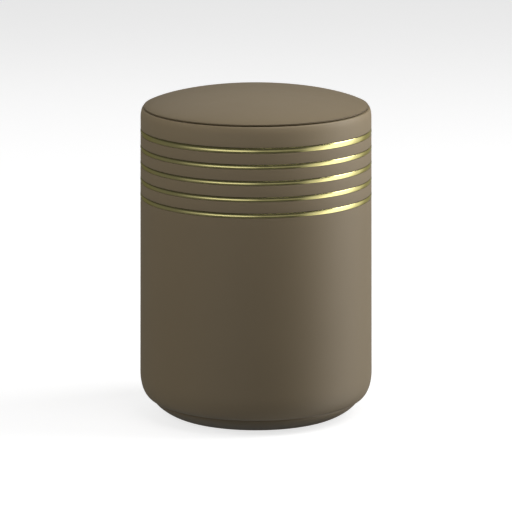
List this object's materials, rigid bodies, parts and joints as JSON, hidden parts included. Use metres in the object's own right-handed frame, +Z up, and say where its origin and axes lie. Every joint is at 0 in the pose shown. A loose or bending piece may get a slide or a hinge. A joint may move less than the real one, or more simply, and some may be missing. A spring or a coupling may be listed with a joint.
{
  "type": "cremation urn",
  "caption": "Upright round cremation urn: hollow satin-lacquered body on a bevelled foot, low domed lift-off lid, and narrow polished brass bands round the top of the wall.",
  "frame": {"origin": "middle of the flat underside that the urn stands on", "axes": "+Z up along the urn's axis, +X to the right and +Y away from the viewer of the picture; the urn is round, so X and Y are not marked on it"},
  "size_m": [0.1712, 0.1712, 0.2412],
  "materials": {
    "taupe_lacquer": "satin grey-brown lacquer on cast aluminium, with a very fine even texture",
    "polished_brass": "polished pale yellow brass, turned smooth"
  },
  "bodies": {
    "root": {"body": "taupe_lacquer", "lid": "taupe_lacquer", "brass_band_1": "polished_brass", "brass_band_2": "polished_brass", "brass_band_3": "polished_brass", "brass_band_4": "polished_brass", "brass_band_5": "polished_brass"}
  },
  "joints": []
}
